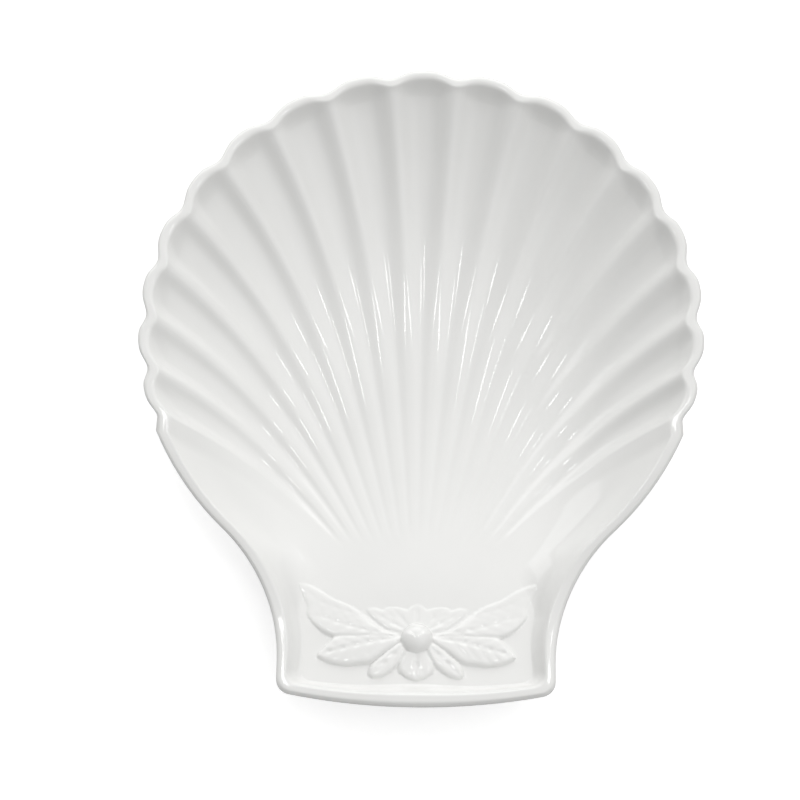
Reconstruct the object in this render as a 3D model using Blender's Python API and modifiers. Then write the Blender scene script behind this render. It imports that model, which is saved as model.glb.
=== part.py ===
"""Shell shaped serving platter: one glazed piece, with a fluted fan, a smooth neck and a
square grip whose sunk panel holds a moulded leaf spray round a bead.

Metres, +Z up, +Y from the grip to the fan. The foot ring stands on Z = 0, and the origin is
at the middle of the platter's outline, below it.
"""
import math

import bmesh
import bpy
from mathutils import Vector
from mathutils.bvhtree import BVHTree

# Outline, seen from above
LENGTH = 0.3106
FAN_RADIUS = 0.1300
SHOULDER_BULGE = 0.0020
GRIP_WIDTH = 0.1250
GRIP_SIDE_LENGTH = 0.0078
GRIP_END_RADIUS = 0.3000
GRIP_CORNER_RADIUS = 0.0070
BEAD_FROM_GRIP_END = 0.0330

# Lobes of the fan: each is a hollow flute inside, between two rounded ribs
LOBES = 17
LOBE_DEPTH = 0.0034
LOBE_FULLNESS = 0.2
RIB_DEPTH = 0.0032
RIB_GROWTH = 1.8
RIB_SHARPNESS = 0.2
RIB_START_FROM_BEAD = 0.0450
RIB_FADE_LENGTH = 0.0120
RIM_FAN_BELOW_CENTRE = 0.0380
RIM_LOBE_ANGLE = math.radians(11.05)
FLOOR_LOBE_ANGLE = math.radians(4.7)
RIB_STRAIGHT_SHARE = 0.35

# Heights above the table, to the glazed upper face
RIM_HEIGHT = 0.0410
NECK_RIM_HEIGHT = 0.0295
GRIP_RIM_HEIGHT = 0.0320
FLOOR_HEIGHT = 0.0080
PANEL_HEIGHT = 0.0225
PANEL_SLOPE = math.tan(math.radians(6.0))
FLOOR_FROM_BEAD = 0.1200
PANEL_PAST_BEAD = 0.0150

# Wall of the dish: its thickness, the level lip at its top, and how far in it starts to rise.
# The outer side of the grip falls more steeply than its inner side.
WALL = 0.0048
LIP_WIDTH = 0.0056
LIP_FLAT_WIDTH = 0.0038
LIP_THICKNESS = 0.0044
LIP_ROUNDING = 0.0020
FAN_FLOOR_SHARE = 0.46
FAN_WALL_CURVE = 2.4
GRIP_WALL_RUN = 0.0062
GRIP_WALL_CURVE = 1.6
GRIP_LIP_OVERHANG = 0.0006
GRIP_OUTER_RUN = 0.0026

# Foot ring below the bowl
FOOT_RADIUS = 0.0600
FOOT_WIDTH = 0.0050
FOOT_ROUNDING = 0.0012
FOOT_FROM_FAN_CENTRE = 0.0160

# Bead in the middle of the leaf spray
BEAD_RADIUS = 0.0073
BEAD_RISE = 0.0058

# Leaf spray on the panel, seen from above and measured from the bead's centre, in parts of which
# the grip is LEAF_PARTS wide. Each leaf is drawn on its right side, from its root round its tip.
LEAF_PARTS = 125
UPPER_LEAF = ((6.0, 0.8), (15.0, 3.9), (19.8, 7.6), (24.5, 11.6), (34.5, 17.4), (39.0, 19.2),
              (44.5, 23.2), (49.5, 25.7), (55.0, 26.4), (52.4, 20.6), (49.6, 14.8), (50.2, 10.6),
              (46.8, 6.2), (42.8, 2.6), (38.0, 0.2), (18.0, 0.2))
LOWER_LEAF = ((5.0, 1.0), (17.0, 2.4), (28.0, 2.2), (37.0, 1.2), (40.6, -2.9), (45.4, -8.8),
              (42.0, -11.1), (37.0, -12.8), (31.0, -13.5), (25.5, -12.6), (20.8, -12.3),
              (14.2, -7.0))
END_LEAF = ((5.0, -1.0), (14.3, -7.0), (20.0, -12.0), (21.4, -15.0), (21.6, -18.0),
            (18.9, -19.2), (14.6, -18.1), (11.2, -15.7), (8.0, -12.8), (3.5, -5.0))
MIDDLE_LEAF = ((0.0, -2.0), (4.6, -5.0), (8.2, -12.9), (7.7, -16.2), (4.7, -18.6), (0.0, -20.4))
BACK_LEAF = ((0.0, 2.0), (9.3, 2.6), (14.0, 4.2), (18.5, 8.0), (22.2, 11.5), (23.0, 14.2),
             (19.0, 15.0), (15.7, 13.6), (13.6, 15.2), (8.7, 15.3), (4.4, 13.9), (2.4, 15.9),
             (0.0, 16.6))
UPPER_LEAF_RISE = 0.0026
LOWER_LEAF_RISE = 0.0022
END_LEAF_RISE = 0.0020
MIDDLE_LEAF_RISE = 0.0017
BACK_LEAF_RISE = 0.0015
LEAF_EDGE = 0.0011

# How finely the surface is divided
STEPS_PER_LOBE = 6
FLOOR_RINGS = 4
WALL_RINGS = 6
SHOULDER_STEPS = 3
NECK_STEPS = 5
GRIP_SIDE_STEPS = 1
GRIP_CORNER_STEPS = 3
GRIP_END_STEPS = 5
FOOT_STEPS = 48
WALL_END_RING = FLOOR_RINGS + WALL_RINGS
LIP_END_RING = WALL_END_RING + 2

# Places that follow from the sizes above
GRIP_END_Y = -LENGTH / 2
FAN_CENTRE_Y = LENGTH / 2 - FAN_RADIUS - LOBE_DEPTH / 2
BEAD_Y = GRIP_END_Y + BEAD_FROM_GRIP_END
LOBE_ORIGIN_Y = FAN_CENTRE_Y - RIM_FAN_BELOW_CENTRE
LAST_LOBE = LOBES / 2
SHOULDER_RADIUS = FAN_RADIUS + SHOULDER_BULGE
GRIP_END_CENTRE_Y = GRIP_END_Y + GRIP_END_RADIUS
CORNER_X = GRIP_WIDTH / 2 - GRIP_CORNER_RADIUS
CORNER_Y = GRIP_END_CENTRE_Y - math.sqrt((GRIP_END_RADIUS - GRIP_CORNER_RADIUS) ** 2
                                         - CORNER_X ** 2)
NECK_Y = CORNER_Y + GRIP_SIDE_LENGTH
NECK_RADIUS = (((FAN_CENTRE_Y - NECK_Y) ** 2 + (GRIP_WIDTH / 2) ** 2 - SHOULDER_RADIUS ** 2)
               / (2 * SHOULDER_RADIUS - GRIP_WIDTH))


def smooth(value):
    """Ease from 0 to 1 as value goes from 0 to 1."""
    t = min(max(value, 0.0), 1.0)
    return t * t * (3 - 2 * t)


def mix(low, high, share):
    return low + (high - low) * share


def on_arc(centre, radius, angle):
    """Point of a circle, its angle turning from +Y towards +X."""
    return Vector((centre[0] + radius * math.sin(angle), centre[1] + radius * math.cos(angle)))


def arc_points(centre, radius, start, end, steps):
    """Points along an arc, without its first one."""
    return [on_arc(centre, radius, mix(start, end, i / steps)) for i in range(1, steps + 1)]


def lobe_fade(lobe):
    """1 on the lobes, easing to 0 on the smooth shoulder past the last one."""
    return 1 - smooth(abs(lobe) - LAST_LOBE + 0.5)


def scallop(lobe):
    """Wave of the edge: out along each full lobe, in at the narrow dip between two lobes."""
    turn = 2 * math.pi * lobe
    return (math.cos(turn) + LOBE_FULLNESS * (1 - math.cos(2 * turn))) * lobe_fade(lobe)


def fan_point(lobe):
    """Where the line of a lobe, counted from the middle one, meets the fan's edge."""
    radius = FAN_RADIUS + LOBE_DEPTH / 2 * scallop(lobe)
    angle = lobe * RIM_LOBE_ANGLE
    offset = RIM_FAN_BELOW_CENTRE
    reach = offset * math.cos(angle) + math.sqrt(radius ** 2 - (offset * math.sin(angle)) ** 2)
    return on_arc((0, LOBE_ORIGIN_Y), reach, angle)


def grip_outline():
    """The edge of one side from the last lobe round the neck and the grip to its middle. The
    neck's arc meets both the shoulder and the grip's straight side without a corner."""
    half = GRIP_WIDTH / 2
    neck_x = half + NECK_RADIUS
    neck_turn = math.asin(neck_x / (SHOULDER_RADIUS + NECK_RADIUS))
    end_turn = math.pi - math.asin(CORNER_X / (GRIP_END_RADIUS - GRIP_CORNER_RADIUS))
    fan_end = fan_point(LAST_LOBE) - Vector((0, FAN_CENTRE_Y))
    points = arc_points((0, FAN_CENTRE_Y), SHOULDER_RADIUS,
                        math.atan2(fan_end.x, fan_end.y), math.pi - neck_turn, SHOULDER_STEPS)
    points += arc_points((neck_x, NECK_Y), NECK_RADIUS, -neck_turn, -math.pi / 2, NECK_STEPS)
    side_start = points[-1]
    side_end = Vector((half, CORNER_Y))
    points += [side_start.lerp(side_end, i / GRIP_SIDE_STEPS)
               for i in range(1, GRIP_SIDE_STEPS + 1)]
    points += arc_points((CORNER_X, CORNER_Y), GRIP_CORNER_RADIUS,
                         math.pi / 2, end_turn, GRIP_CORNER_STEPS)
    points += arc_points((0, GRIP_END_CENTRE_Y), GRIP_END_RADIUS,
                         end_turn, math.pi, GRIP_END_STEPS)
    return points


def lobe_after(edge_points):
    """Lobe number carried on past the last lobe, by the distance along the edge."""
    pitch = (fan_point(LAST_LOBE) - fan_point(LAST_LOBE - 1)).length
    lobes = []
    travelled = 0.0
    previous = fan_point(LAST_LOBE)
    for point in edge_points:
        travelled += (point - previous).length
        previous = point
        lobes.append(LAST_LOBE + travelled / pitch)
    return lobes


def spokes():
    """All spokes once round, as (lobe number, edge point), from grip end to grip end."""
    fan_steps = LOBES * STEPS_PER_LOBE
    fan = [mix(-LAST_LOBE, LAST_LOBE, i / fan_steps) for i in range(fan_steps + 1)]
    edge = grip_outline()
    right = list(zip(lobe_after(edge), edge))
    left = [(-lobe, Vector((-point.x, point.y))) for lobe, point in reversed(right)]
    return left + [(lobe, fan_point(lobe)) for lobe in fan] + right


def edge_angle(edge):
    """Direction from the bead to an edge point, from +Y towards +X."""
    return math.atan2(edge.x, edge.y - BEAD_Y)


def floor_angle(lobe, edge):
    """Direction in which a spoke leaves the bead: the ribs leave close together."""
    last_edge = edge_angle(fan_point(LAST_LOBE))
    last_floor = LAST_LOBE * FLOOR_LOBE_ANGLE
    if abs(lobe) <= LAST_LOBE:
        return lobe * FLOOR_LOBE_ANGLE
    rest = (math.pi - abs(edge_angle(edge))) / (math.pi - last_edge)
    return math.copysign(math.pi - rest * (math.pi - last_floor), lobe)


def rim_height(edge):
    """Height of the rim: level round the fan, lowest at the neck."""
    neck_top = FAN_CENTRE_Y - NECK_RADIUS / 2
    neck_low = BEAD_Y + GRIP_CORNER_RADIUS
    if edge.y > neck_low:
        return mix(NECK_RIM_HEIGHT, RIM_HEIGHT, smooth((edge.y - neck_low) / (neck_top - neck_low)))
    share = (neck_low - edge.y) / (neck_low - GRIP_END_Y)
    return mix(NECK_RIM_HEIGHT, GRIP_RIM_HEIGHT, smooth(share))


def base_height(y):
    """Height of floor and panel before the wall rises: the panel slopes up to the grip end."""
    panel = PANEL_HEIGHT + (BEAD_Y - y) * PANEL_SLOPE
    top = BEAD_Y + PANEL_PAST_BEAD
    low = BEAD_Y + FLOOR_FROM_BEAD
    return mix(panel, FLOOR_HEIGHT, smooth((y - top) / (low - top)))


def grip_share(edge):
    """0 for spokes to the fan, 1 for spokes to the grip, eased round the neck."""
    start = edge_angle(fan_point(LAST_LOBE))
    side = edge_angle(Vector((GRIP_WIDTH / 2, BEAD_Y + GRIP_CORNER_RADIUS)))
    return smooth((abs(edge_angle(edge)) - start) / (side - start))


def rib_offset(lobe, out, y):
    """How far the ribs lift the wall: hollows on the lobes, ribs between them."""
    turn = 2 * math.pi * lobe
    wave = -math.cos(turn) - RIB_SHARPNESS * math.cos(2 * turn)
    fade_in = smooth((y - BEAD_Y - RIB_START_FROM_BEAD) / RIB_FADE_LENGTH)
    return wave * RIB_DEPTH / 2 * out ** RIB_GROWTH * fade_in * lobe_fade(lobe)


def spoke_point(lobe, edge, ring, below=False):
    """Point of the upper face, or of the lower face below it. Rings run from the bead over the
    floor and up the wall; the last two are the inner and the outer edge of the level lip."""
    reach = (edge - Vector((0, BEAD_Y))).length
    grip = grip_share(edge)
    wall_top = reach - LIP_WIDTH
    wall_foot = mix(FAN_FLOOR_SHARE * reach, wall_top - GRIP_WALL_RUN, grip)
    rise = min(max(ring - FLOOR_RINGS, 0) / WALL_RINGS, 1.0)
    if ring <= FLOOR_RINGS:
        radius = wall_foot * ring / FLOOR_RINGS
    elif ring <= WALL_END_RING:
        radius = mix(wall_foot, wall_top, rise)
    else:
        radius = reach - LIP_FLAT_WIDTH * (LIP_END_RING - ring)
    out = radius / reach
    bend = max(0.0, (out - RIB_STRAIGHT_SHARE) / (1 - RIB_STRAIGHT_SHARE)) ** 2
    angle = mix(floor_angle(lobe, edge), edge_angle(edge), bend)
    y = on_arc((0, BEAD_Y), radius, angle).y
    rim = rim_height(edge)
    rim_below = rim - LIP_THICKNESS
    curve = mix(FAN_WALL_CURVE, GRIP_WALL_CURVE, grip)
    run = wall_top - wall_foot
    base = base_height(y)
    height = min(mix(base, rim, rise ** curve) + rib_offset(lobe, out, y), rim)
    if ring > WALL_END_RING:
        height = rim_below if below else rim
    elif below:
        slope = math.atan(curve * rise ** (curve - 1) * (rim - base) / run)
        outer = reach - GRIP_LIP_OVERHANG - GRIP_OUTER_RUN * (1 - rise)
        outer = outer if rise > 0 else outer * ring / FLOOR_RINGS
        radius = mix(radius + WALL * math.sin(slope), outer, grip)
        drop = mix(WALL * math.cos(slope), mix(WALL, LIP_THICKNESS, rise), grip)
        height = min(height - drop, rim_below)
    place = on_arc((0, BEAD_Y), radius, angle)
    return Vector((place.x, place.y, height))


def dish_body():
    """The platter without its foot and spray: a grid wrapped round the bead. It has one column
    for each spoke, which runs out over the upper face, round the lip and back below."""
    columns = spokes()
    rows = [(ring, False) for ring in range(LIP_END_RING + 1)]
    rows += [(ring, True) for ring in range(LIP_END_RING, -1, -1) if ring != WALL_END_RING + 1]
    body = bmesh.new()
    bmesh.ops.create_grid(body, x_segments=len(columns) - 1, y_segments=len(rows) - 1, size=0.5)
    for vert in body.verts:
        lobe, edge = columns[round((vert.co.x + 0.5) * (len(columns) - 1))]
        ring, below = rows[round((vert.co.y + 0.5) * (len(rows) - 1))]
        vert.co = spoke_point(lobe, edge, ring, below)
    bmesh.ops.remove_doubles(body, verts=body.verts, dist=1e-6)
    bmesh.ops.recalc_face_normals(body, faces=body.faces)
    return body


def height_at(tree, x, y):
    """Height of the upper face at a place, seen from above."""
    hit = tree.ray_cast(Vector((x, y, 1.0)), Vector((0, 0, -1)))
    return hit[0].z


def add_object(name, geometry, collection, material=None):
    """Make an object from a bmesh, shaded smooth, and put it in a collection."""
    for face in geometry.faces:
        face.smooth = True
    mesh = bpy.data.meshes.new(name)
    geometry.to_mesh(mesh)
    geometry.free()
    item = bpy.data.objects.new(name, mesh)
    if material:
        mesh.materials.append(material)
    collection.objects.link(item)
    return item


def add_foot(tree, collection):
    """Foot ring: its section turned round the middle, flat below, its top in the dish's wall."""
    inner = FOOT_RADIUS - FOOT_WIDTH / 2
    outer = FOOT_RADIUS + FOOT_WIDTH / 2
    foot = bmesh.new()
    corners = [foot.verts.new((radius, 0, height))
               for radius, height in ((outer, WALL), (outer, 0), (inner, 0), (inner, WALL))]
    sides = [foot.edges.new((corners[i - 1], corners[i])) for i in range(len(corners))]
    bmesh.ops.spin(foot, geom=corners + sides, cent=(0, 0, 0), axis=(0, 0, 1),
                   angle=2 * math.pi, steps=FOOT_STEPS, use_duplicate=False)
    bmesh.ops.remove_doubles(foot, verts=foot.verts, dist=1e-6)
    bmesh.ops.recalc_face_normals(foot, faces=foot.faces)
    for vert in foot.verts:
        vert.co.y += FAN_CENTRE_Y - FOOT_FROM_FAN_CENTRE
        if vert.co.z > 0:
            vert.co.z = height_at(tree, vert.co.x, vert.co.y) - WALL / 2
    ring = add_object("foot_ring", foot, collection)
    edge = ring.modifiers.new("Rounded foot", "BEVEL")
    edge.width = FOOT_ROUNDING
    edge.segments = 2
    edge.limit_method = "ANGLE"
    edge.angle_limit = math.radians(60)


def add_bead(tree, collection):
    """Bead in the middle of the spray: a flattened ball, its lower half set into the wall."""
    ball = bmesh.new()
    bmesh.ops.create_uvsphere(ball, u_segments=16, v_segments=8, radius=BEAD_RADIUS)
    for vert in ball.verts:
        depth = BEAD_RISE if vert.co.z > 0 else WALL / 2
        vert.co.z *= depth / BEAD_RADIUS
    place = Vector((0, BEAD_Y, height_at(tree, 0, BEAD_Y)))
    bmesh.ops.translate(ball, verts=ball.verts, vec=place)
    add_object("bead", ball, collection)


def mirrored(line):
    """The same line on the left side, run through backwards to keep going round."""
    return tuple((-x, y) for x, y in reversed(line))


def add_leaf(tree, collection, outline, rise):
    """One leaf: its outline filled, raised out of the wall, and drawn in at its upper edge."""
    unit = GRIP_WIDTH / LEAF_PARTS
    leaf = bmesh.new()
    bmesh.ops.create_circle(leaf, cap_ends=True, segments=len(outline), radius=1)
    leaf.verts.ensure_lookup_table()
    for vert, (x, y) in zip(leaf.verts, outline):
        vert.co = (x * unit, BEAD_Y + y * unit, -WALL / 2)
    top = leaf.faces[:]
    raised = bmesh.ops.extrude_face_region(leaf, geom=top, use_keep_orig=True)["geom"]
    lid = [item for item in raised if isinstance(item, bmesh.types.BMFace)]
    for vert in lid[0].verts:
        vert.co.z = rise - LEAF_EDGE / 2
    bmesh.ops.recalc_face_normals(leaf, faces=leaf.faces)
    bmesh.ops.inset_region(leaf, faces=lid, thickness=LEAF_EDGE, use_even_offset=False)
    for vert in lid[0].verts:
        vert.co.z = rise
    for vert in leaf.verts:
        vert.co.z += height_at(tree, vert.co.x, vert.co.y)
    bmesh.ops.triangulate(leaf, faces=leaf.faces)
    add_object("leaf", leaf, collection)


def add_spray(tree, collection):
    """The bead, and every leaf with its mirror image."""
    add_bead(tree, collection)
    for outline, rise in ((UPPER_LEAF, UPPER_LEAF_RISE), (LOWER_LEAF, LOWER_LEAF_RISE),
                          (END_LEAF, END_LEAF_RISE)):
        add_leaf(tree, collection, outline, rise)
        add_leaf(tree, collection, mirrored(outline), rise)
    for outline, rise in ((MIDDLE_LEAF, MIDDLE_LEAF_RISE), (BACK_LEAF, BACK_LEAF_RISE)):
        add_leaf(tree, collection, outline + mirrored(outline)[1:-1], rise)


def glazed_ceramic():
    """White glazed porcelain."""
    material = bpy.data.materials.new("glazed porcelain")
    material.use_nodes = True
    shader = material.node_tree.nodes["Principled BSDF"]
    shader.inputs["Base Color"].default_value = (0.84, 0.84, 0.83, 1.0)
    shader.inputs["Roughness"].default_value = 0.08
    shader.inputs["Metallic"].default_value = 0.0
    return material


def new_collection(name):
    collection = bpy.data.collections.new(name)
    bpy.context.scene.collection.children.link(collection)
    return collection


def build():
    for item in list(bpy.data.objects):
        bpy.data.objects.remove(item, do_unlink=True)
    platter = new_collection("shell_platter")
    joined = new_collection("joined_pieces")

    body = dish_body()
    tree = BVHTree.FromBMesh(body)
    dish = add_object("shell_platter", body, platter, glazed_ceramic())

    lip = dish.modifiers.new("Lip", "BEVEL")
    lip.width = LIP_ROUNDING
    lip.segments = 2
    lip.limit_method = "ANGLE"
    lip.angle_limit = math.radians(60)

    add_foot(tree, joined)
    add_spray(tree, joined)
    for piece in joined.objects:
        piece.hide_render = True
        piece.display_type = "WIRE"
    union = dish.modifiers.new("Foot and spray", "BOOLEAN")
    union.operation = "UNION"
    union.solver = "EXACT"
    union.operand_type = "COLLECTION"
    union.collection = joined


build()
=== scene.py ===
"""A shell shaped serving platter, cast in one piece and glazed white, standing on its foot ring."""
import math

import bpy
import numpy as np
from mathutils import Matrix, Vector
from mathutils.bvhtree import BVHTree


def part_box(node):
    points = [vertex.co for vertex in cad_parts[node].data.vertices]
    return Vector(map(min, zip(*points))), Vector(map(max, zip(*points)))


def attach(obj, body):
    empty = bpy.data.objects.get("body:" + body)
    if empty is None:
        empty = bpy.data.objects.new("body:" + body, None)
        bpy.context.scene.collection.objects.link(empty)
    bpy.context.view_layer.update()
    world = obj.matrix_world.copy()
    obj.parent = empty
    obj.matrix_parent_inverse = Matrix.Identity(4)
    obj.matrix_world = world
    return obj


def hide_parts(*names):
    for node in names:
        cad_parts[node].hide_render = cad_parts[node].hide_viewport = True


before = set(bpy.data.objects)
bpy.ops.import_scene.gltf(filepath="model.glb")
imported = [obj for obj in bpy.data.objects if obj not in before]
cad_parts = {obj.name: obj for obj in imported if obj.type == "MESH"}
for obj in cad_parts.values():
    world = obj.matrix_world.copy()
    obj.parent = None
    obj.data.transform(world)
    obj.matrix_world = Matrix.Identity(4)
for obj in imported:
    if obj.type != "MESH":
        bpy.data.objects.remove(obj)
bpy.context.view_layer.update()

# The dish. The real platter is one piece of white porcelain, cast in a plaster mould and glazed
# all over but for its foot: a scallop fan with hollow flutes between rounded ribs, a rolled lip,
# and a smooth neck that runs into a square grip with a sunk panel.

# Outline, seen from above
LENGTH = 0.3106
FAN_RADIUS = 0.1300
SHOULDER_RADIUS = 0.1320
GRIP_WIDTH = 0.1250
GRIP_SIDE_LENGTH = 0.0078
GRIP_END_RADIUS = 0.3000
GRIP_CORNER_RADIUS = 0.0070
BEAD_FROM_GRIP_END = 0.0330

# Lobes of the fan: each is a hollow flute inside, between two rounded ribs
LOBES = 17
LOBE_DEPTH = 0.0034
LOBE_FULLNESS = 0.2
RIB_DEPTH = 0.0043
SIDE_RIB_LOSS = 0.35
RIB_GROWTH = 2.2
FLOOR_RIB_BREADTH = 0.2
RIM_RIB_BREADTH = -0.25
RIB_BREADTH_FROM_SHARE = 0.5
RIB_BREADTH_RUN_SHARE = 0.4
RIB_START_FROM_BEAD = 0.0450
RIB_FADE_LENGTH = 0.0120
RIM_FAN_BELOW_CENTRE = 0.0380
RIM_LOBE_ANGLE = math.radians(11.05)
FLOOR_LOBE_ANGLE = math.radians(4.7)
RIB_STRAIGHT_SHARE = 0.35

# Heights above the table, to the glazed upper face
RIM_HEIGHT = 0.0410
NECK_RIM_HEIGHT = 0.0295
GRIP_RIM_HEIGHT = 0.0320
FLOOR_HEIGHT = 0.0080
PANEL_HEIGHT = 0.0225
PANEL_SLOPE = math.tan(math.radians(6.0))
FLOOR_FROM_BEAD = 0.1200
PANEL_PAST_BEAD = 0.0150

# Wall of the dish, and its lip: the roll stands a step above the ends of the flutes, and its
# inner side falls as part of an ellipse that runs out in a fillet
WALL = 0.0048
LIP_WIDTH = 0.0056
LIP_THICKNESS = 0.0044
LIP_ROUNDING = 0.0021
LIP_SOFTNESS = 0.0024
LIP_STEP = 0.0006
ROLL_DROP = 0.0016
ROLL_STEEP_FROM = 0.92
ROLL_FILLET = 0.0022
FAN_FLOOR_SHARE = 0.46
FAN_WALL_CURVE = 2.4
GRIP_WALL_RUN = 0.0062
GRIP_WALL_CURVE = 1.6
GRIP_LIP_OVERHANG = 0.0006
GRIP_OUTER_RUN = 0.0026

# How finely the surface is divided, along the edge and then outwards from the bead
STEPS_PER_LOBE = 14
SHOULDER_STEPS = 10
NECK_STEPS = 16
GRIP_SIDE_STEPS = 3
GRIP_CORNER_STEPS = 8
GRIP_END_STEPS = 20
BEAD_RINGS = 10
FLOOR_RINGS = 32
FLOOR_RING_CROWDING = 1.45
WALL_RINGS = 30
LIP_RINGS = 18
ROUNDING_RINGS = 7
UNDER_RINGS = 10
BEAD_ZONE = 0.0088
MERGE_WITHIN = 1e-6

# What follows from these sizes
GRIP_END_Y = -LENGTH / 2
FAN_CENTRE_Y = LENGTH / 2 - FAN_RADIUS - LOBE_DEPTH / 2
BEAD_Y = GRIP_END_Y + BEAD_FROM_GRIP_END
LAST_LOBE = LOBES / 2
GRIP_END_CENTRE_Y = GRIP_END_Y + GRIP_END_RADIUS
CORNER_X = GRIP_WIDTH / 2 - GRIP_CORNER_RADIUS
CORNER_Y = GRIP_END_CENTRE_Y - math.sqrt((GRIP_END_RADIUS - GRIP_CORNER_RADIUS) ** 2
                                         - CORNER_X ** 2)
NECK_Y = CORNER_Y + GRIP_SIDE_LENGTH
NECK_RADIUS = (((FAN_CENTRE_Y - NECK_Y) ** 2 + (GRIP_WIDTH / 2) ** 2 - SHOULDER_RADIUS ** 2)
               / (2 * SHOULDER_RADIUS - GRIP_WIDTH))


def smooth(value):
    """Ease from 0 to 1 as value goes from 0 to 1."""
    t = np.clip(value, 0.0, 1.0)
    return t * t * (3 - 2 * t)


def mix(low, high, share):
    """The value that lies a share of the way from low to high."""
    return low + (high - low) * share


def on_arc(centre, radius, angle):
    """Point of a circle, its angle turning from +Y towards +X."""
    return np.array((centre[0] + radius * math.sin(angle), centre[1] + radius * math.cos(angle)))


def arc_points(centre, radius, start, end, steps):
    """Points along an arc, without its first one."""
    return [on_arc(centre, radius, mix(start, end, i / steps)) for i in range(1, steps + 1)]


def lobe_fade(lobe):
    """1 on the lobes, easing to 0 on the smooth shoulder past the last one."""
    return 1 - smooth(np.abs(lobe) - LAST_LOBE + 0.5)


def fan_point(lobe):
    """Where the line of a lobe, counted from the middle one, meets the fan's scalloped edge."""
    turn = 2 * math.pi * lobe
    scallop = math.cos(turn) + LOBE_FULLNESS * (1 - math.cos(2 * turn))
    radius = FAN_RADIUS + LOBE_DEPTH / 2 * scallop * lobe_fade(lobe)
    angle = lobe * RIM_LOBE_ANGLE
    below = RIM_FAN_BELOW_CENTRE
    reach = below * math.cos(angle) + math.sqrt(radius ** 2 - (below * math.sin(angle)) ** 2)
    return on_arc((0, FAN_CENTRE_Y - below), reach, angle)


def grip_outline():
    """The edge of one side from the last lobe round the neck and the grip to its middle."""
    half = GRIP_WIDTH / 2
    neck_x = half + NECK_RADIUS
    neck_turn = math.asin(neck_x / (SHOULDER_RADIUS + NECK_RADIUS))
    end_turn = math.pi - math.asin(CORNER_X / (GRIP_END_RADIUS - GRIP_CORNER_RADIUS))
    fan_x, fan_y = fan_point(LAST_LOBE)
    points = arc_points((0, FAN_CENTRE_Y), SHOULDER_RADIUS,
                        math.atan2(fan_x, fan_y - FAN_CENTRE_Y), math.pi - neck_turn, SHOULDER_STEPS)
    points += arc_points((neck_x, NECK_Y), NECK_RADIUS, -neck_turn, -math.pi / 2, NECK_STEPS)
    side_start = points[-1]
    side_end = np.array((half, CORNER_Y))
    points += [mix(side_start, side_end, i / GRIP_SIDE_STEPS)
               for i in range(1, GRIP_SIDE_STEPS + 1)]
    points += arc_points((CORNER_X, CORNER_Y), GRIP_CORNER_RADIUS,
                         math.pi / 2, end_turn, GRIP_CORNER_STEPS)
    points += arc_points((0, GRIP_END_CENTRE_Y), GRIP_END_RADIUS, end_turn, math.pi, GRIP_END_STEPS)
    return points


def spokes():
    """Lobe numbers and edge points once round, from the middle of the grip's end to itself."""
    fan_steps = LOBES * STEPS_PER_LOBE
    fan = [mix(-LAST_LOBE, LAST_LOBE, i / fan_steps) for i in range(fan_steps + 1)]
    pitch = np.linalg.norm(fan_point(LAST_LOBE) - fan_point(LAST_LOBE - 1))
    edge = grip_outline()
    travelled = np.cumsum([np.linalg.norm(b - a)
                           for a, b in zip([fan_point(LAST_LOBE)] + edge[:-1], edge)])
    after = [LAST_LOBE + length / pitch for length in travelled]
    lobes = [-lobe for lobe in reversed(after)] + fan + after
    points = [p * (-1, 1) for p in reversed(edge)] + [fan_point(lobe) for lobe in fan] + edge
    return np.array(lobes), np.array(points)


def edge_angle(x, y):
    """Direction from the bead to a point, from +Y towards +X."""
    return np.arctan2(x, y - BEAD_Y)


def base_height(y):
    """Height of floor and panel before the wall rises: the panel slopes up to the grip end."""
    panel = PANEL_HEIGHT + (BEAD_Y - y) * PANEL_SLOPE
    top = BEAD_Y + PANEL_PAST_BEAD
    low = BEAD_Y + FLOOR_FROM_BEAD
    return mix(panel, FLOOR_HEIGHT, smooth((y - top) / (low - top)))


def rim_heights(y):
    """Height of the rim: level round the fan, lowest at the neck."""
    neck_top = FAN_CENTRE_Y - NECK_RADIUS / 2
    neck_low = BEAD_Y + GRIP_CORNER_RADIUS
    fan_side = mix(NECK_RIM_HEIGHT, RIM_HEIGHT, smooth((y - neck_low) / (neck_top - neck_low)))
    grip_side = mix(NECK_RIM_HEIGHT, GRIP_RIM_HEIGHT, smooth((neck_low - y) / (neck_low - GRIP_END_Y)))
    return np.where(y > neck_low, fan_side, grip_side)


def soft_minimum(a, b, softness):
    """The lower of two heights, rounded off where they cross."""
    share = np.clip(0.5 + 0.5 * (b - a) / softness, 0, 1)
    return mix(b, a, share) - softness * share * (1 - share)


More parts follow.
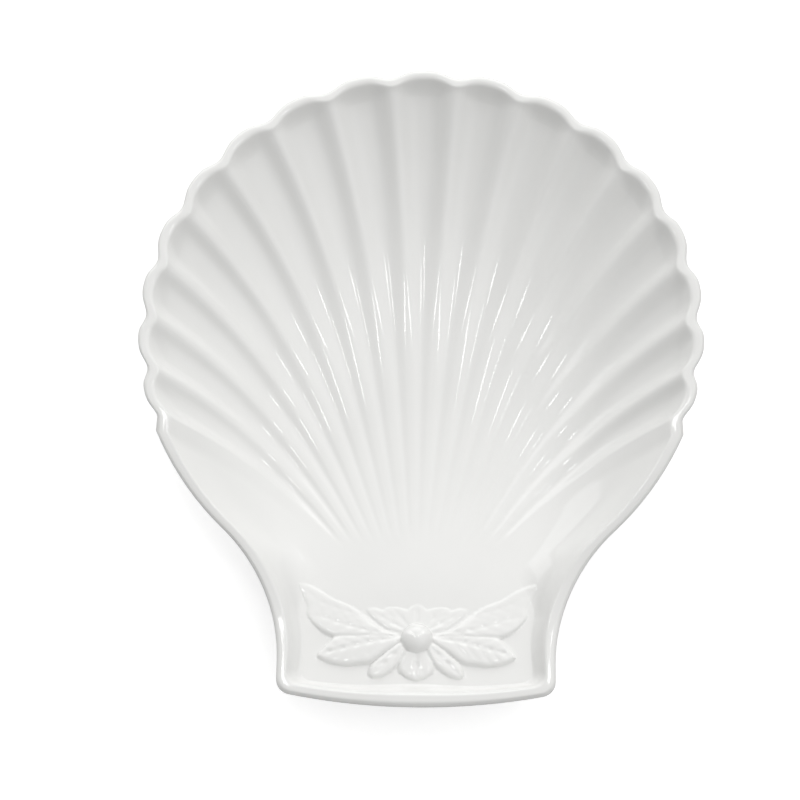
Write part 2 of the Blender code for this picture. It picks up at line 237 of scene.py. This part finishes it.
def dish_rows():
    """Places of the dish's skin, row by row: out from the bead over floor, wall and lip, then
    back below them. Each row holds one place for each spoke round the bead."""
    lobe, edge = spokes()
    reach = np.hypot(edge[:, 0], edge[:, 1] - BEAD_Y)
    at_edge = edge_angle(edge[:, 0], edge[:, 1])
    at_edge[0] = -math.pi
    last_edge = edge_angle(*fan_point(LAST_LOBE))
    last_floor = LAST_LOBE * FLOOR_LOBE_ANGLE
    rest = (math.pi - np.abs(at_edge)) / (math.pi - last_edge)
    past_fan = np.sign(lobe) * (math.pi - rest * (math.pi - last_floor))
    at_floor = np.where(np.abs(lobe) <= LAST_LOBE, lobe * FLOOR_LOBE_ANGLE, past_fan)
    side = edge_angle(GRIP_WIDTH / 2, BEAD_Y + GRIP_CORNER_RADIUS)
    grip = smooth((np.abs(at_edge) - last_edge) / (side - last_edge))
    wall_top = reach - LIP_WIDTH
    wall_foot = mix(FAN_FLOOR_SHARE * reach, wall_top - GRIP_WALL_RUN, grip)
    lip_start = wall_top - mix(LIP_WIDTH, GRIP_WALL_RUN / 2, grip)
    curve = mix(FAN_WALL_CURVE, GRIP_WALL_CURVE, grip)
    rim = rim_heights(edge[:, 1])
    turn = 2 * math.pi * lobe
    ribbed = RIB_DEPTH / 2 * (1 - SIDE_RIB_LOSS * (lobe / LAST_LOBE) ** 2) * lobe_fade(lobe)

    def place(radius, height, out=None):
        """Places at a distance from the bead on each spoke, which bends on its way out."""
        if out is None:
            out = radius / reach
        bend = np.clip((out - RIB_STRAIGHT_SHARE) / (1 - RIB_STRAIGHT_SHARE), 0, None) ** 2
        angle = mix(at_floor, at_edge, bend)
        return np.stack((radius * np.sin(angle), BEAD_Y + radius * np.cos(angle), height), -1)

    def wall_height(radius):
        """Height of the wall over floor and panel, with the ribs on it."""
        out = radius / reach
        y = place(radius, reach)[:, 1]
        rise = np.clip((radius - wall_foot) / (wall_top - wall_foot), 0, None)
        base = base_height(y)
        fade_in = smooth((y - BEAD_Y - RIB_START_FROM_BEAD) / RIB_FADE_LENGTH)
        breadth = mix(FLOOR_RIB_BREADTH, RIM_RIB_BREADTH,
                      smooth((out - RIB_BREADTH_FROM_SHARE) / RIB_BREADTH_RUN_SHARE))
        hollow = 1 + np.cos(turn) - breadth * (1 - np.cos(2 * turn))
        sunk = hollow * ribbed * out ** RIB_GROWTH * fade_in
        return mix(base, rim, rise ** curve) - sunk, rise, base

    def upper_height(radius):
        """Height of the upper face: on the fan, the rolled lip stands over the flutes' ends."""
        wall = wall_height(radius)[0]
        from_top = np.clip((reach - radius) / (LIP_WIDTH / 2) - 1, 0, None)
        rounded_part = np.minimum(from_top, ROLL_STEEP_FROM)
        thin = math.sqrt(1 - ROLL_STEEP_FROM ** 2)
        drop = ROLL_DROP * (1 - np.sqrt(1 - rounded_part ** 2)
                            + (from_top - rounded_part) * ROLL_STEEP_FROM / thin)
        below_roll = np.minimum(wall, rim) - LIP_STEP
        roll = -soft_minimum(drop - rim, -below_roll, ROLL_FILLET)
        fan = np.minimum(roll, rim)
        return mix(fan, soft_minimum(wall, rim, LIP_SOFTNESS), grip)

    radii = [np.full_like(reach, BEAD_ZONE * i / BEAD_RINGS) for i in range(BEAD_RINGS)]
    radii += [mix(BEAD_ZONE, wall_foot, (i / FLOOR_RINGS) ** FLOOR_RING_CROWDING)
              for i in range(FLOOR_RINGS)]
    radii += [mix(wall_foot, lip_start, i / WALL_RINGS) for i in range(WALL_RINGS)]
    outer_round = mix(LIP_WIDTH / 2, LIP_ROUNDING, grip)
    round_start = reach - outer_round
    radii += [mix(lip_start, round_start, i / LIP_RINGS) for i in range(LIP_RINGS)]
    rows = [place(r, upper_height(r)) for r in radii]
    whole_way = np.ones_like(reach)
    for i in range(ROUNDING_RINGS + 1):
        a = math.pi / 2 * i / ROUNDING_RINGS
        rows.append(place(round_start + outer_round * math.sin(a),
                          rim - LIP_ROUNDING * (1 - math.cos(a)), whole_way))
    lower = mix(LIP_ROUNDING, GRIP_LIP_OVERHANG, grip)
    for i in range(ROUNDING_RINGS + 1):
        a = math.pi / 2 * i / ROUNDING_RINGS
        rows.append(place(reach - lower * (1 - math.cos(a)),
                          rim - LIP_THICKNESS + lower * (1 - math.sin(a)), whole_way))
    for i in range(1, UNDER_RINGS + 1):
        radius = mix(wall_top, wall_foot, i / UNDER_RINGS)
        height, rise, base = wall_height(radius)
        slope = np.arctan(curve * rise ** (curve - 1) * (rim - base) / (wall_top - wall_foot))
        outer = reach - GRIP_LIP_OVERHANG - GRIP_OUTER_RUN * (1 - rise)
        drop = mix(WALL * np.cos(slope), mix(WALL, LIP_THICKNESS, rise), grip)
        rows.append(place(mix(radius + WALL * np.sin(slope), outer, grip),
                          np.minimum(height - drop, rim - LIP_THICKNESS), radius / reach))
    outer = reach - GRIP_LIP_OVERHANG - GRIP_OUTER_RUN
    for i in range(UNDER_RINGS - 1, -1, -1):
        radius = wall_foot * i / UNDER_RINGS
        rows.append(place(mix(radius, outer * i / UNDER_RINGS, grip),
                          wall_height(radius)[0] - WALL, radius / reach))
    return np.array(rows)


def deselect_all():
    """Leave no object selected."""
    for item in list(bpy.context.selected_objects):
        item.select_set(False)


def coordinates(mesh):
    """Places of a mesh's vertices, one row each."""
    places = np.empty(len(mesh.vertices) * 3)
    mesh.vertices.foreach_get("co", places)
    return places.reshape(-1, 3)


def set_coordinates(mesh, places):
    """Move a mesh's vertices to new places."""
    mesh.vertices.foreach_set("co", places.ravel())
    mesh.update()


# The skin is a grid of places, kept inside the box of the part's solid
skin = dish_rows()
cad_low, cad_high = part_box("shell_platter")
for axis in (0, 1):
    skin[:, :, axis] *= min(1, (cad_high[axis] - cad_low[axis]) / np.ptp(skin[:, :, axis]))
rows, columns = skin.shape[:2]
deselect_all()
bpy.ops.mesh.primitive_grid_add(x_subdivisions=columns - 1, y_subdivisions=rows - 1, size=1,
                                location=(0, 0, 0))
platter = bpy.context.object
platter.name = "glazed_platter"
flat = coordinates(platter.data)
column = np.rint((flat[:, 0] + 0.5) * (columns - 1)).astype(int)
row = np.rint((flat[:, 1] + 0.5) * (rows - 1)).astype(int)
set_coordinates(platter.data, skin[row, column])
bpy.ops.object.mode_set(mode="EDIT")
bpy.ops.mesh.select_all(action="SELECT")
bpy.ops.mesh.remove_doubles(threshold=MERGE_WITHIN)
bpy.ops.mesh.normals_make_consistent(inside=False)
bpy.ops.object.mode_set(mode="OBJECT")

# The moulded relief. A spray of leaves lies round a ball shaped bead on the sunk panel of the
# grip. It is part of the casting: the mould gave its edges and veins, the glaze rounded them off.

BEAD_RADIUS = 0.0073
BEAD_RISE = 0.0052
BEAD_FILLET = 0.0005
BALL_SHARE = 0.75
BALL_WITHIN = 0.99 * BEAD_ZONE

# Leaves in millimetres from the bead's centre, seen from above. Each is drawn on its right side,
# from its root round its tip, and its veins from root to tip.
UPPER_LEAF = ((6.0, 0.8), (8.5, 2.2), (15.0, 3.9), (19.8, 7.6), (24.5, 11.6), (29.5, 15.2),
              (34.5, 17.4), (39.0, 19.2), (44.5, 23.2), (49.5, 25.7), (55.0, 26.4), (52.4, 20.6),
              (49.6, 14.8), (50.2, 10.6), (46.8, 6.2), (42.8, 2.6), (38.0, 0.2), (28.0, 0.0),
              (18.0, 0.2))
LOWER_LEAF = ((5.0, 1.0), (17.0, 2.4), (28.0, 2.2), (37.0, 1.2), (40.6, -2.9), (45.4, -8.8),
              (42.0, -11.1), (37.0, -12.8), (31.0, -13.5), (25.5, -12.6), (20.8, -12.3),
              (14.2, -7.0), (8.0, -3.0))
END_LEAF = ((5.0, -1.0), (9.0, -2.3), (14.3, -7.0), (20.0, -12.0), (21.4, -15.0), (21.6, -18.0),
            (18.9, -19.2), (14.6, -18.1), (11.2, -15.7), (8.0, -12.8), (3.5, -5.0))
MIDDLE_LEAF = ((0.0, -2.0), (4.6, -5.0), (8.2, -12.9), (7.7, -16.2), (4.7, -18.6), (0.0, -20.4))
BACK_LEAF = ((0.0, 2.0), (9.3, 2.6), (14.0, 4.2), (18.5, 8.0), (22.2, 11.5), (23.0, 14.2),
             (19.0, 15.0), (15.7, 13.6), (13.6, 15.2), (8.7, 15.3), (4.4, 13.9), (2.4, 15.9),
             (0.0, 16.6))
UPPER_VEIN = ((9.0, 1.8), (16.0, 4.2), (21.5, 8.4), (29.0, 12.2), (37.0, 14.6), (44.5, 17.6),
              (54.0, 25.4))
UPPER_SIDE_VEIN = ((12.0, 1.6), (25.0, 4.2), (36.0, 7.4), (43.0, 10.2), (49.5, 10.4))
LOWER_VEIN = ((9.0, 0.2), (18.0, -1.2), (27.0, -3.4), (36.0, -6.0), (44.6, -8.4))
END_VEIN = ((5.0, -3.4), (10.0, -8.0), (15.4, -13.4), (20.4, -18.2))
MIDDLE_VEIN = ((0.0, -6.0), (0.0, -19.6))
BACK_VEINS = (((0.0, 6.0), (0.0, 16.0)), ((3.0, 5.0), (10.8, 14.6)), ((5.0, 4.0), (21.6, 13.4)))
MM = 0.001

# How high the leaves rise above the panel, and how their edges and veins are formed
BACK_LEAF_RISE = 0.0013
MIDDLE_LEAF_RISE = 0.0013
END_LEAF_RISE = 0.0015
LOWER_LEAF_RISE = 0.0017
UPPER_LEAF_RISE = 0.0019
CORNER_CUT = 0.2
CORNER_CUTS = 2
LEAF_EDGE = 0.0026
LEAF_DOME = 0.0004
LEAF_DOME_OVER = 0.0030
VEIN_HALF_WIDTH = 0.0011
SIDE_VEIN_EVERY = 0.0062
SIDE_VEIN_LENGTH = 0.0095
SIDE_VEIN_TURN = math.radians(38)
MIDRIB_DEPTH = 0.00035
SIDE_VEIN_DEPTH = 0.00015

# The whole spray: where it lies flush, the ground round the bead, and how far it reaches
FULL_BELOW = -0.0060
FLUSH_OVER = 0.0240
FLUSH_SHARE = 0.25
GROUND_RISE = 0.0010
GROUND_HALF_WIDTH = 0.0280
GROUND_HALF_HEIGHT = 0.0160
SPRAY_HALF_WIDTH = 0.0580
SPRAY_ABOVE_BEAD = 0.0285
SPRAY_BELOW_BEAD = 0.0225
UPPER_FACE_WITHIN = WALL / 3
LONGEST_EDGES = (0.0016, 0.0010, 0.0008)


def mirrored(line):
    """The same line on the left side, run the other way."""
    return tuple((-x, y) for x, y in reversed(line))


def rounded(outline):
    """Cut the corners of a closed outline, as the glaze does."""
    line = np.array(outline) * MM
    for _ in range(CORNER_CUTS):
        following = np.roll(line, -1, axis=0)
        line = np.stack((mix(line, following, CORNER_CUT),
                         mix(line, following, 1 - CORNER_CUT)), 1).reshape(-1, 2)
    return line


def distance_to_line(places, line, closed=False):
    """Distance of each place to the nearest stretch of a line."""
    nearest = np.full(len(places), np.inf)
    count = len(line) if closed else len(line) - 1
    for i in range(count):
        start = line[i]
        run = line[(i + 1) % len(line)] - start
        share = np.clip(((places - start) @ run) / (run @ run), 0, 1)
        nearest = np.minimum(nearest, np.linalg.norm(places - start - share[:, None] * run, axis=1))
    return nearest


def inside(places, outline):
    """True for each place within a closed outline."""
    crossed = np.zeros(len(places), bool)
    for (x0, y0), (x1, y1) in zip(outline, np.roll(outline, -1, axis=0)):
        spans = (y0 > places[:, 1]) != (y1 > places[:, 1])
        if y0 != y1:
            at = x0 + (places[:, 1] - y0) / (y1 - y0) * (x1 - x0)
            crossed ^= spans & (places[:, 0] < at)
    return crossed


def side_veins(vein):
    """Short veins that leave a midrib on both sides, slanting towards its tip."""
    lengths = np.linalg.norm(np.diff(vein, axis=0), axis=1)
    along = np.concatenate(([0.0], np.cumsum(lengths)))
    veins = []
    for at in np.arange(SIDE_VEIN_EVERY, along[-1] - SIDE_VEIN_EVERY / 2, SIDE_VEIN_EVERY):
        i = min(int(np.searchsorted(along, at)) - 1, len(lengths) - 1)
        forward = (vein[i + 1] - vein[i]) / lengths[i]
        start = vein[i] + forward * (at - along[i])
        for turn in (SIDE_VEIN_TURN, -SIDE_VEIN_TURN):
            way = np.array((forward[0] * math.cos(turn) - forward[1] * math.sin(turn),
                            forward[0] * math.sin(turn) + forward[1] * math.cos(turn)))
            veins.append(np.array((start, start + way * SIDE_VEIN_LENGTH)))
    return veins


def leaf_height(places, outline, rise, midribs):
    """Height of one leaf above the panel: rounded edges, a little dome, sunk veins."""
    edge = rounded(outline)
    depth = np.where(inside(places, edge), distance_to_line(places, edge, closed=True), 0.0)
    share = np.clip(depth / LEAF_EDGE, 0, 1)
    height = rise * np.sqrt(1 - (1 - share) ** 2)
    height += LEAF_DOME * (1 - np.exp(-depth / LEAF_DOME_OVER))
    for midrib in midribs:
        vein = np.array(midrib) * MM
        near = distance_to_line(places, vein)
        height -= share * MIDRIB_DEPTH * np.exp(-(near / VEIN_HALF_WIDTH) ** 2)
        for side in side_veins(vein):
            near = distance_to_line(places, side)
            height -= share * SIDE_VEIN_DEPTH * np.exp(-(near / VEIN_HALF_WIDTH) ** 2)
    return np.where(depth > 0, height, 0.0)


def leaves():
    """Every leaf as (outline, rise, midribs), those of the left side mirrored."""
    spray = [(BACK_LEAF + mirrored(BACK_LEAF)[1:-1], BACK_LEAF_RISE,
              BACK_VEINS + tuple(mirrored(vein)[::-1] for vein in BACK_VEINS[1:])),
             (MIDDLE_LEAF + mirrored(MIDDLE_LEAF)[1:-1], MIDDLE_LEAF_RISE, (MIDDLE_VEIN,))]
    for outline, rise, midribs in ((END_LEAF, END_LEAF_RISE, (END_VEIN,)),
                                   (LOWER_LEAF, LOWER_LEAF_RISE, (LOWER_VEIN,)),
                                   (UPPER_LEAF, UPPER_LEAF_RISE, (UPPER_VEIN, UPPER_SIDE_VEIN))):
        spray.append((outline, rise, midribs))
        spray.append((mirrored(outline), rise, tuple(mirrored(vein)[::-1] for vein in midribs)))
    return spray


def relief(places):
    """Height of the whole spray above the panel, at places measured from the bead's centre. The
    leaves grow together round the bead. They stand out most at the lower side and lie almost
    flush on the side of the bowl."""
    from_bead = np.hypot(places[:, 0] / GROUND_HALF_WIDTH, places[:, 1] / GROUND_HALF_HEIGHT)
    height = GROUND_RISE * (1 - smooth(from_bead))
    for outline, rise, midribs in leaves():
        height = np.maximum(height, leaf_height(places, outline, rise, midribs))
    return height * mix(1.0, FLUSH_SHARE, smooth((places[:, 1] - FULL_BELOW) / FLUSH_OVER))


def activate(item):
    """Make an object the only selected and active one."""
    deselect_all()
    item.select_set(True)
    bpy.context.view_layer.objects.active = item


def refine_panel(item):
    """Divide the upper face round the spray until its edges are short enough for the veins."""
    for longest in LONGEST_EDGES:
        mesh = item.data
        places = coordinates(mesh)
        for part in (mesh.vertices, mesh.edges, mesh.polygons):
            part.foreach_set("select", np.zeros(len(part), bool))
        ends = np.empty(len(mesh.edges) * 2, int)
        mesh.edges.foreach_get("vertices", ends)
        start, end = places[ends[0::2]], places[ends[1::2]]
        middle = (start + end) / 2
        top = middle[:, 2] > base_height(middle[:, 1]) - UPPER_FACE_WITHIN
        near = (np.abs(middle[:, 0]) < SPRAY_HALF_WIDTH) & top
        near &= middle[:, 1] > BEAD_Y - SPRAY_BELOW_BEAD
        near &= middle[:, 1] < BEAD_Y + SPRAY_ABOVE_BEAD
        near &= np.hypot(middle[:, 0], middle[:, 1] - BEAD_Y) > BEAD_ZONE
        near &= np.linalg.norm(end - start, axis=1) > longest
        mesh.edges.foreach_set("select", near)
        activate(item)
        bpy.ops.object.mode_set(mode="EDIT")
        bpy.ops.mesh.select_mode(type="EDGE")
        bpy.ops.mesh.subdivide(number_cuts=1)
        bpy.ops.object.mode_set(mode="OBJECT")


def raise_spray(item):
    """Lift the panel into the leaves, and the middle of it into the bead."""
    places = coordinates(item.data)
    away = places[:, :2] - (0, BEAD_Y)
    radius = np.linalg.norm(away, axis=1)
    top = places[:, 2] > base_height(places[:, 1]) - UPPER_FACE_WITHIN
    near = top & (np.abs(away[:, 0]) < SPRAY_HALF_WIDTH) & (np.abs(away[:, 1]) < SPRAY_ABOVE_BEAD)
    ball = near & (radius < BALL_WITHIN)
    share = np.clip(radius[ball] / BEAD_ZONE / BALL_SHARE, 0, 1)
    past = np.clip((radius[ball] / BEAD_ZONE - BALL_SHARE) / (1 - BALL_SHARE), 0, 1)
    new_radius = np.where(past > 0, mix(BEAD_RADIUS, BEAD_ZONE, past),
                          BEAD_RADIUS * np.sin(share * math.pi / 2))
    factor = new_radius / np.maximum(radius[ball], MERGE_WITHIN)
    places[ball, :2] = (0, BEAD_Y) + away[ball] * factor[:, None]
    lift = relief(places[near, :2] - (0, BEAD_Y))
    dome = np.full(len(places), -2 * BEAD_FILLET)
    dome[ball] = BEAD_RISE * np.cos(share * math.pi / 2) - 2 * BEAD_FILLET * past
    places[near, 2] -= soft_minimum(-lift, -dome[near], BEAD_FILLET)
    set_coordinates(item.data, places)


refine_panel(platter)
raise_spray(platter)
platter.data.polygons.foreach_set("use_smooth", np.ones(len(platter.data.polygons), bool))

# The foot ring. A low ring below the bowl, cast with the rest of the platter. It keeps the glaze
# off the kiln shelf, so its lower face is bare porcelain, ground flat after firing.

FOOT_RADIUS = 0.0600
FOOT_WIDTH = 0.0050
FOOT_FROM_FAN_CENTRE = 0.0160
FOOT_ROUNDING = 0.0013
FOOT_STEPS = 180
FOOT_BEVEL_SEGMENTS = 4
FOOT_SHARP_ANGLE = math.radians(60)
FOOT_BURIED = 0.55 * WALL
ABOVE_THE_DISH = 1


def foot_ring(body):
    """A closed ring with rounded edges, whose top is buried in the wall above it."""
    centre = Vector((0, FAN_CENTRE_Y - FOOT_FROM_FAN_CENTRE, 0))
    tree = BVHTree.FromObject(body, bpy.context.evaluated_depsgraph_get())
    deselect_all()
    bpy.ops.mesh.primitive_plane_add(size=1, location=(0, 0, 0))
    ring_piece = bpy.context.object
    mesh = ring_piece.data
    corners = [(FOOT_RADIUS + side * FOOT_WIDTH / 2, 0, top)
               for side, top in ((-1, 0), (1, 0), (-1, ABOVE_THE_DISH), (1, ABOVE_THE_DISH))]
    for vertex, corner in zip(mesh.vertices, corners):
        vertex.co = corner
    bpy.ops.object.mode_set(mode="EDIT")
    bpy.ops.mesh.select_all(action="SELECT")
    bpy.ops.mesh.delete(type="ONLY_FACE")
    bpy.ops.mesh.select_all(action="SELECT")
    bpy.ops.mesh.spin(steps=FOOT_STEPS, angle=2 * math.pi, center=(0, 0, 0), axis=(0, 0, 1))
    bpy.ops.mesh.select_all(action="SELECT")
    bpy.ops.mesh.remove_doubles(threshold=MERGE_WITHIN)
    bpy.ops.mesh.normals_make_consistent(inside=False)
    bpy.ops.object.mode_set(mode="OBJECT")
    for vertex in mesh.vertices:
        vertex.co += centre
        if vertex.co.z > ABOVE_THE_DISH / 2:
            upper_face = tree.ray_cast(vertex.co, Vector((0, 0, -1)))[0]
            vertex.co.z = upper_face.z - FOOT_BURIED
    bevel = ring_piece.modifiers.new("Rounded foot", "BEVEL")
    bevel.width = FOOT_ROUNDING
    bevel.segments = FOOT_BEVEL_SEGMENTS
    bevel.limit_method = "ANGLE"
    bevel.angle_limit = FOOT_SHARP_ANGLE
    activate(ring_piece)
    bpy.ops.object.modifier_apply(modifier=bevel.name)
    mesh.polygons.foreach_set("use_smooth", np.ones(len(mesh.polygons), bool))
    return ring_piece


foot = foot_ring(platter)
foot.name = "foot_ring"

# The finish. Hard porcelain, white with a touch of warmth, under a clear feldspar glaze that
# fired to a mirror gloss. Its white varies very slightly from place to place.

TONE_PATCH = 0.0455
RIPPLE_WIDTH = 0.0111
DRAWN_GRIT = 0.000556
BARE_UP_TO = 0.001
BARE_FACING_DOWN = 0.8


def srgb(code):
    """Linear colour of an sRGB hex code."""
    values = [int(code[i:i + 2], 16) / 255 for i in (1, 3, 5)]
    return [v / 12.92 if v <= 0.04045 else ((v + 0.055) / 1.055) ** 2.4 for v in values] + [1.0]


def add_node(tree, kind, links=(), **settings):
    """Add a node. A setting with a socket's name fills it, any other is a property of the node.
    Each link is an input of it, the node that feeds it and that node's output, by name or
    number."""
    node = tree.nodes.new(kind)
    for key, value in settings.items():
        if hasattr(node, key):
            setattr(node, key, value)
        else:
            node.inputs[key.replace("_", " ")].default_value = value
    for fed, source, output in links:
        tree.links.new(source.outputs[output], node.inputs[fed])
    return node


def glazed_porcelain():
    """White porcelain under clear glaze: a mirror gloss, broken by a very faint ripple."""
    material = bpy.data.materials.new("glazed_white_porcelain")
    material.use_nodes = True
    tree = material.node_tree
    shader = tree.nodes["Principled BSDF"]
    shader.inputs["Roughness"].default_value = 0.07
    shader.inputs["IOR"].default_value = 1.52
    place = add_node(tree, "ShaderNodeTexCoord")
    cloud = add_node(tree, "ShaderNodeTexNoise", [("Vector", place, "Object")],
                     Scale=1 / TONE_PATCH, Detail=3.0, Roughness=0.5)
    tone = add_node(tree, "ShaderNodeValToRGB", [("Fac", cloud, "Fac")])
    tone.color_ramp.elements[0].position = 0.3
    tone.color_ramp.elements[0].color = srgb("#EFEFED")
    tone.color_ramp.elements[1].position = 0.7
    tone.color_ramp.elements[1].color = srgb("#F2F2F0")
    tree.links.new(tone.outputs["Color"], shader.inputs["Base Color"])
    ripple = add_node(tree, "ShaderNodeTexNoise", [("Vector", place, "Object")],
                      Scale=1 / RIPPLE_WIDTH, Detail=1.0)
    bump = add_node(tree, "ShaderNodeBump", [("Height", ripple, "Fac")],
                    Strength=0.05, Distance=0.0004)
    tree.links.new(bump.outputs["Normal"], shader.inputs["Normal"])
    return material


def bare_porcelain():
    """Unglazed porcelain, ground flat on the foot: chalky, with fine speckle. Its real grit is
    too fine to show, and is drawn coarser."""
    material = bpy.data.materials.new("bare_ground_porcelain")
    material.use_nodes = True
    tree = material.node_tree
    shader = tree.nodes["Principled BSDF"]
    shader.inputs["Roughness"].default_value = 0.65
    place = add_node(tree, "ShaderNodeTexCoord")
    grit = add_node(tree, "ShaderNodeTexNoise", [("Vector", place, "Object")],
                    Scale=1 / DRAWN_GRIT, Detail=2.0)
    tone = add_node(tree, "ShaderNodeValToRGB", [("Fac", grit, "Fac")])
    tone.color_ramp.elements[0].color = srgb("#DCD8CE")
    tone.color_ramp.elements[1].color = srgb("#EDEAE2")
    tree.links.new(tone.outputs["Color"], shader.inputs["Base Color"])
    bump = add_node(tree, "ShaderNodeBump", [("Height", grit, "Fac")],
                    Strength=0.3, Distance=0.0002)
    tree.links.new(bump.outputs["Normal"], shader.inputs["Normal"])
    return material


platter.data.materials.append(glazed_porcelain())
platter.data.materials.append(bare_porcelain())
deselect_all()
foot.data.materials.append(platter.data.materials[0])
foot.data.materials.append(platter.data.materials[1])
for face in foot.data.polygons:
    bare = face.normal.z < -BARE_FACING_DOWN and face.center.z < BARE_UP_TO
    face.material_index = int(bare)
foot.select_set(True)
platter.select_set(True)
bpy.context.view_layer.objects.active = platter
bpy.ops.object.join()
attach(platter, "root")
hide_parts("shell_platter")

# The table, lights and camera. A plain white table in a softly lit white room, with a broad
# soft light behind the fan and two small soft lights overhead, which draw the pairs of streaks
# on the ribs.

TABLE_SIZE = 6.0
TABLE_GLOW = 0.58


def white_table():
    """Matt white. To the camera it also glows a little, so that it reads as plain white."""
    material = bpy.data.materials.new("plain_white_table")
    material.use_nodes = True
    tree = material.node_tree
    shader = tree.nodes["Principled BSDF"]
    shader.inputs["Base Color"].default_value = srgb("#E8E8E8")
    shader.inputs["Roughness"].default_value = 0.9
    shader.inputs["Specular IOR Level"].default_value = 0.0
    path = add_node(tree, "ShaderNodeLightPath")
    seen = add_node(tree, "ShaderNodeMath", [(0, path, "Is Camera Ray")], operation="MULTIPLY")
    seen.inputs[1].default_value = TABLE_GLOW
    tree.links.new(seen.outputs[0], shader.inputs["Emission Strength"])
    shader.inputs["Emission Color"].default_value = (1, 1, 1, 1)
    return material


bpy.ops.mesh.primitive_plane_add(size=TABLE_SIZE, location=(0, 0, 0))
table = bpy.context.object
table.name = "table"
table.data.materials.append(white_table())


def soft_light(name, size, power, place, aim):
    """A rectangular lamp, its size in metres and its power in watts, that faces a point."""
    lamp = bpy.data.lights.new(name, "AREA")
    lamp.shape = "RECTANGLE"
    lamp.size, lamp.size_y = size
    lamp.energy = power
    item = bpy.data.objects.new(name, lamp)
    item.location = place
    item.rotation_euler = (Vector(aim) - Vector(place)).to_track_quat("-Z", "Y").to_euler()
    bpy.context.scene.collection.objects.link(item)
    return item


CENTRE = (0, 0, 0.02)
soft_light("back_softbox", (1.6, 0.8), 4.6, (-0.30, 1.14, 0.57), CENTRE)
soft_light("left_streak_light", (0.08, 0.18), 0.36, (-0.20, 0.22, 0.97), CENTRE)
soft_light("right_streak_light", (0.08, 0.14), 0.28, (0.20, 0.25, 0.97), CENTRE)

ROOM_LIGHT = ((0.36, (0, -0.71, 0.71)), (1.24, (0.5, 0, 0.87)),
              (1.40, (0, 0.94, 0.34)), (0.32, (-0.87, 0, 0.5)))
ROOM_LIGHT_FALL = 4
ROOM_DARKEST = 0.05


def white_room():
    """Walls and ceiling that glow most in four ways, each with its brightness and the way to
    it: from the front, from high on the right, from low behind the fan and from the left. Each
    glow falls away softly all round, so that the glaze shows no edge of it."""
    world = bpy.data.worlds.new("white_room")
    bpy.context.scene.world = world
    world.use_nodes = True
    tree = world.node_tree
    way = add_node(tree, "ShaderNodeTexCoord")
    glows_so_far = []
    for brightness, toward in ROOM_LIGHT:
        facing = add_node(tree, "ShaderNodeVectorMath", [(0, way, "Generated")],
                          operation="DOT_PRODUCT")
        facing.inputs[1].default_value = toward
        on_its_side = add_node(tree, "ShaderNodeMath", [(0, facing, "Value")], operation="MAXIMUM")
        on_its_side.inputs[1].default_value = 0
        fall = add_node(tree, "ShaderNodeMath", [(0, on_its_side, 0)], operation="POWER")
        fall.inputs[1].default_value = ROOM_LIGHT_FALL
        glow = add_node(tree, "ShaderNodeMath", [(0, fall, 0)] + glows_so_far,
                        operation="MULTIPLY_ADD")
        glow.inputs[1].default_value = brightness
        if not glows_so_far:
            glow.inputs[2].default_value = ROOM_DARKEST
        glows_so_far = [(2, glow, 0)]
    background = tree.nodes["Background"]
    background.inputs["Color"].default_value = (1, 1, 1, 1)
    tree.links.new(glow.outputs[0], background.inputs["Strength"])


white_room()

CAMERA_ELEVATION = math.radians(70.0)
CAMERA_AZIMUTH = math.radians(4.71)
CAMERA_ROLL = math.radians(-3.985)
CAMERA_DISTANCE = 1.2
CAMERA_AIM = Vector((-0.00951, -0.00682, 0.020))
SENSOR_WIDTH = 36.0
PHOTO_WIDTH_PIXELS = 800.0
FOCAL_LENGTH_PIXELS = 2565.0


def aim_camera():
    """Camera at the photograph's angle to the dish, looking down on it."""
    back = Vector((math.sin(CAMERA_AZIMUTH) * math.cos(CAMERA_ELEVATION),
                   -math.cos(CAMERA_AZIMUTH) * math.cos(CAMERA_ELEVATION),
                   math.sin(CAMERA_ELEVATION)))
    right = Vector((math.cos(CAMERA_AZIMUTH), math.sin(CAMERA_AZIMUTH), 0))
    up = back.cross(right)
    turned_right = right * math.cos(CAMERA_ROLL) + up * math.sin(CAMERA_ROLL)
    turned_up = up * math.cos(CAMERA_ROLL) - right * math.sin(CAMERA_ROLL)
    data = bpy.data.cameras.new("camera")
    data.sensor_width = SENSOR_WIDTH
    data.lens = SENSOR_WIDTH * FOCAL_LENGTH_PIXELS / PHOTO_WIDTH_PIXELS
    item = bpy.data.objects.new("camera", data)
    turned = item.matrix_world.to_3x3()
    turned.col[0] = turned_right
    turned.col[1] = turned_up
    turned.col[2] = back
    item.matrix_world = turned.to_4x4()
    item.location = CAMERA_AIM + back * CAMERA_DISTANCE
    bpy.context.scene.collection.objects.link(item)
    bpy.context.scene.camera = item


aim_camera()
bpy.context.scene.view_settings.view_transform = "Standard"
